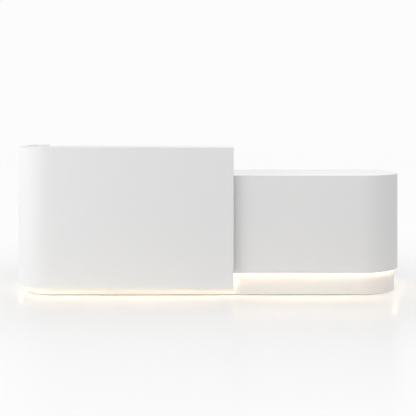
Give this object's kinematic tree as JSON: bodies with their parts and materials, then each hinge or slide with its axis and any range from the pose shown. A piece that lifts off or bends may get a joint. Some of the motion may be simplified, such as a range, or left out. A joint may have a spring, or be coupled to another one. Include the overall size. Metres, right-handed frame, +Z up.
{
  "type": "reception desk",
  "caption": "White reception desk with a tall wrapped front, a lower rounded counter, a lit recessed plinth, and worktop, drawers and cupboard behind.",
  "frame": {"origin": "on the floor under the middle of the desk's box", "axes": "+X to the visitor's right along the desk, +Y to the staff side, +Z up"},
  "size_m": [2.86, 0.704, 1.067],
  "materials": {
    "white_lacquer": "satin white lacquer on bent board",
    "white_melamine": "fine-grained white melamine",
    "plinth_white": "satin white lacquer",
    "shadow_black": "matt black paint",
    "drawer_wood": "pale grey foil",
    "zinc_steel": "bright zinc",
    "brushed_aluminium": "brushed",
    "coated_steel": "fine-texture powder coat",
    "opal_diffuser": "opal, lit warm white",
    "light_tape": "flexible board with light chips",
    "grey_plastic": "matte moulded"
  },
  "bodies": {
    "desk": {"fascia_shell": "white_lacquer", "transaction_shelf": "white_lacquer", "pier_cap": "white_lacquer", "drum_skin": "white_lacquer", "low_counter_top": "white_lacquer", "front_lining": "white_melamine", "wall_deck": "white_melamine", "pier_gable": "white_melamine", "end_cheek": "white_melamine", "cabinet_deck": "white_melamine", "mid_gable": "white_melamine", "cabinet_partition": "white_melamine", "right_gable": "white_melamine", "drum_formers": "white_melamine", "worktop": "white_melamine", "worktop_cleats": "white_melamine", "cupboard_shelf": "white_melamine", "plinth_skin": "plinth_white", "plinth_wall_rails": "plinth_white", "plinth_rear_rail": "plinth_white", "plinth_ties": "plinth_white", "fascia_battens": "shadow_black", "cabinet_slides": "zinc_steel", "hinge_frame_leaves": "zinc_steel", "hinge_pins": "zinc_steel", "led_channel": "brushed_aluminium", "shelf_brackets": "coated_steel", "cable_tray": "coated_steel", "led_diffuser": "opal_diffuser", "led_tape": "light_tape", "cable_grommets": "grey_plastic", "shelf_supports": "grey_plastic", "glides": "grey_plastic", "led_driver": "grey_plastic"},
    "top_drawer": {"top_drawer_front": "white_melamine", "top_drawer_sides": "drawer_wood", "top_drawer_ends": "drawer_wood", "top_drawer_bottom": "drawer_wood", "top_drawer_pull": "brushed_aluminium", "top_drawer_inner_slides": "zinc_steel"},
    "top_drawer_middle_runners": {"top_drawer_middle_slides": "zinc_steel"},
    "middle_drawer": {"middle_drawer_front": "white_melamine", "middle_drawer_sides": "drawer_wood", "middle_drawer_ends": "drawer_wood", "middle_drawer_bottom": "drawer_wood", "middle_drawer_pull": "brushed_aluminium", "middle_drawer_inner_slides": "zinc_steel"},
    "middle_drawer_middle_runners": {"middle_drawer_middle_slides": "zinc_steel"},
    "file_drawer": {"file_drawer_front": "white_melamine", "file_drawer_sides": "drawer_wood", "file_drawer_ends": "drawer_wood", "file_drawer_bottom": "drawer_wood", "file_drawer_pull": "brushed_aluminium", "file_drawer_inner_slides": "zinc_steel"},
    "file_drawer_middle_runners": {"file_drawer_middle_slides": "zinc_steel"},
    "cupboard_door": {"cupboard_door": "white_melamine", "door_pull": "brushed_aluminium", "hinge_door_leaves": "zinc_steel"}
  },
  "joints": [
    {"name": "top_drawer_slide", "type": "slide", "parent": "desk", "child": "top_drawer", "axis": [0, 1, 0], "range_m": [0, 0.42]},
    {"name": "top_drawer_runner_slide", "type": "slide", "parent": "desk", "child": "top_drawer_middle_runners", "axis": [0, 1, 0], "range_m": [0, 0.21]},
    {"name": "middle_drawer_slide", "type": "slide", "parent": "desk", "child": "middle_drawer", "axis": [0, 1, 0], "range_m": [0, 0.42]},
    {"name": "middle_drawer_runner_slide", "type": "slide", "parent": "desk", "child": "middle_drawer_middle_runners", "axis": [0, 1, 0], "range_m": [0, 0.21]},
    {"name": "file_drawer_slide", "type": "slide", "parent": "desk", "child": "file_drawer", "axis": [0, 1, 0], "range_m": [0, 0.42]},
    {"name": "file_drawer_runner_slide", "type": "slide", "parent": "desk", "child": "file_drawer_middle_runners", "axis": [0, 1, 0], "range_m": [0, 0.21]},
    {"name": "cupboard_door_swing", "type": "hinge", "parent": "desk", "child": "cupboard_door", "pos_m": [1.167, 0.327, 0.499], "axis": [0, 0, -1], "range_deg": [0, 105]}
  ],
  "couplings": [
    {"joint": "top_drawer_runner_slide", "follows": "top_drawer_slide", "ratio": 0.5},
    {"joint": "middle_drawer_runner_slide", "follows": "middle_drawer_slide", "ratio": 0.5},
    {"joint": "file_drawer_runner_slide", "follows": "file_drawer_slide", "ratio": 0.5}
  ]
}
